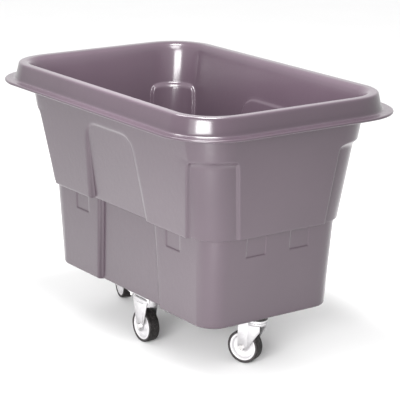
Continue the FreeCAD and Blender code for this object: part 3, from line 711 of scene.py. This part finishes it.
for end in ("front", "rear"):
    yaw = wheel_yaws[end]
    pieces = leg_pair(swivel_outline, rib_outline)
    bpy.ops.object.select_all(action="DESELECT")
    bpy.ops.mesh.primitive_cube_add(size=1, location=((rear_edge + FORK_FRONT) / 2, 0, DECK_TOP - STEEL / 2),
                                    scale=(FORK_FRONT - rear_edge, 2 * (GAP_HALF + STEEL), STEEL))
    deck = bpy.context.object
    bpy.ops.object.transform_apply(location=True, rotation=True, scale=True)
    soften(deck, 0.001)
    pieces.append(deck)
    foot, top = SKIRT_FOOT, DECK_TOP
    inner_wall, under_deck = SKIRT_R - STEEL, foot + 0.014
    pieces.append(turned("dish", [
        (KINGPIN_HOLE_R, top + 0.003), (RAISED_R - 0.001, top + 0.003), (RAISED_R - 0.0002, top + 0.0024),
        (RAISED_R, top), (SKIRT_R - 0.001, top), (SKIRT_R - 0.0003, top - 0.0003), (SKIRT_R, top - 0.001),
        (SKIRT_R, top - 0.0052), (SKIRT_R - 0.0008, top - 0.0062), (SKIRT_R - 0.0008, top - 0.0072),
        (SKIRT_R, top - 0.0082), (SKIRT_R, foot + 0.0045), (SKIRT_R - 0.0004, foot + 0.0022),
        (SKIRT_R - 0.0015, foot + 0.0007), (SKIRT_R - 0.0026, foot), (inner_wall, foot + 0.0006),
        (inner_wall, under_deck - 0.001), (inner_wall - 0.0004, under_deck), (KINGPIN_HOLE_R, under_deck)]))
    fork = joined(pieces, end + "_fork_pressing")
    fork.data.materials.clear()
    fork.data.materials.append(caster_zinc.material)
    smooth_by_angle(fork, 35)
    settle(fork, (spins[end + "_swivel_turn"]["pos_m"][0], 0, 0), yaw)
    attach(fork, end + "_swivel")
    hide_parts(end + "_fork")


# ---- Rigid frames ----
# A plate, a boss welded below it, and a crown bent down on both sides into two tapered legs, all
# zinc-plated steel. The plate is bolted flat to the tub, so these wheels point along the cart.

PLATE_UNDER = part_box("right_mounting_nuts")[1].z
PLATE_SIZE, PLATE_CORNER = (0.114, 0.067, 0.004), 0.008
CROWN_TOP, CROWN_FOOT, BEND = 0.146, 0.131, 0.009
BOSS_SIZE, BOSS_CORNER = (0.050, 0.028, PLATE_UNDER - CROWN_TOP), 0.003
LEG_TOP_HALF, RIGID_END, RIGID_RIB_TOP_HALF, RIGID_RIB_END = 0.037, 0.017, 0.019, 0.0125
axle_place = (0, WHEEL_R)
foot_angle = touching(LEG_TOP_HALF, CROWN_FOOT, axle_place, RIGID_END, -1)
rigid_outline = [(LEG_TOP_HALF, CROWN_FOOT + 0.001), (-LEG_TOP_HALF, CROWN_FOOT + 0.001)]
rigid_outline += round_end(axle_place, RIGID_END, 180 - foot_angle, 360 + foot_angle)
rigid_rib = [(RIGID_RIB_TOP_HALF, CROWN_FOOT - 0.002), (-RIGID_RIB_TOP_HALF, CROWN_FOOT - 0.002)]
rigid_rib += round_end(axle_place, RIGID_RIB_END, 180, 360)


def bent(outer, radius, top, foot, steps=8):
    """Half the crown's cross-section: down one leg and round the bend to the middle."""
    angles = [math.radians(90 * step / steps) for step in range(steps + 1)]
    return [(outer, foot)] + [(outer - radius + radius * math.cos(a), top - radius + radius * math.sin(a))
                              for a in angles]


outer_line = bent(GAP_HALF + STEEL, BEND, CROWN_TOP, CROWN_FOOT)
inner_line = bent(GAP_HALF, BEND - STEEL, CROWN_TOP - STEEL, CROWN_FOOT)
crown_section = outer_line + [(-y, z) for y, z in reversed(outer_line)]
crown_section += [(-y, z) for y, z in inner_line] + inner_line[::-1]


def slab(size, height, corner):
    """A level plate centred at that height, with its upright corners rounded."""
    bpy.ops.object.select_all(action="DESELECT")
    bpy.ops.mesh.primitive_cube_add(size=1, location=(0, 0, height), scale=size)
    piece = bpy.context.object
    bpy.ops.object.transform_apply(location=True, rotation=True, scale=True)
    bpy.ops.object.mode_set(mode="EDIT")
    bpy.ops.mesh.select_all(action="DESELECT")
    bpy.ops.object.mode_set(mode="OBJECT")
    for edge in piece.data.edges:
        ends = [piece.data.vertices[index].co for index in edge.vertices]
        edge.select = abs(ends[0].z - ends[1].z) > 0.001
    bpy.ops.object.mode_set(mode="EDIT")
    bpy.ops.mesh.bevel(offset=corner, segments=6)
    bpy.ops.object.mode_set(mode="OBJECT")
    soften(piece, 0.0006)
    return piece


for side in ("left", "right"):
    pieces = leg_pair(rigid_outline, rigid_rib)
    crown = cut_plate("crown", crown_section, -LEG_TOP_HALF, 2 * LEG_TOP_HALF, 0.0005)
    settle(crown, (0, 0, 0), math.radians(90))
    pieces.append(crown)
    pieces.append(slab(PLATE_SIZE, PLATE_UNDER + PLATE_SIZE[2] / 2, PLATE_CORNER))
    pieces.append(slab(BOSS_SIZE, (PLATE_UNDER + CROWN_TOP) / 2, BOSS_CORNER))
    pressing = joined(pieces, side + "_frame_pressing")
    pressing.data.materials.clear()
    pressing.data.materials.append(caster_zinc.material)
    smooth_by_angle(pressing, 35)
    settle(pressing, (0, wheel_centres[side].y, 0))
    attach(pressing, "root")
    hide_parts(side + "_caster_frame")


# ---- Plates, pads, fasteners and bearings ----
# Zinc-plated plates on thin black pads, held by bolts through the tub's floor, with nuts below.
# Each keeps its CAD shape and takes the finish of its kind.

fastener_zinc = Finish("fastener_zinc", metallic=1.0)
wear = fastener_zinc.noise(140.0, 4.0, 0.6)
fastener_zinc.set("Base Color", fastener_zinc.ramp(wear, (0.3, (0.66, 0.65, 0.64, 1)),
                                                   (0.7, (0.80, 0.79, 0.78, 1))))
fastener_zinc.set("Roughness", 0.22 + fastener_zinc.noise(200.0, 3.0) * 0.16)
fastener_zinc.bump(fastener_zinc.noise(600.0, 2.0), 0.00006, 0.4)

bearing_steel = Finish("bearing_steel", metallic=1.0)
brushing = bearing_steel.noise(160.0, 3.0)
bearing_steel.set("Base Color", bearing_steel.ramp(brushing, (0.3, (0.50, 0.50, 0.51, 1)),
                                                   (0.7, (0.62, 0.62, 0.63, 1))))
bearing_steel.set("Roughness", 0.18 + bearing_steel.noise(240.0, 3.0) * 0.14)
bearing_steel.bump(bearing_steel.noise(700.0, 2.0), 0.00005, 0.4)

pad_plastic = Finish("pad_plastic", specular_ior_level=0.4)
pad_mottle = pad_plastic.noise(90.0, 3.0)
pad_plastic.set("Base Color", pad_plastic.ramp(pad_mottle, (0.3, (0.010, 0.008, 0.008, 1)),
                                               (0.7, (0.018, 0.015, 0.015, 1))))
pad_plastic.set("Roughness", 0.5 + pad_plastic.noise(60.0, 3.0) * 0.2)
pad_plastic.bump(pad_plastic.noise(500.0, 2.0), 0.0001, 0.5)

finishes = {"caster_zinc": caster_zinc, "fastener_zinc": fastener_zinc, "bearing_steel": bearing_steel,
            "pad_plastic": pad_plastic, "tyre_rubber": tyre_rubber, "hub_plastic": hub_plastic,
            "tub_plastic": tub_plastic}
for subpart in frame["record"]["subparts"]:
    node = nodes[subpart["node"]]
    node.data.materials.clear()
    node.data.materials.append(finishes[subpart["material_slot"]].material)
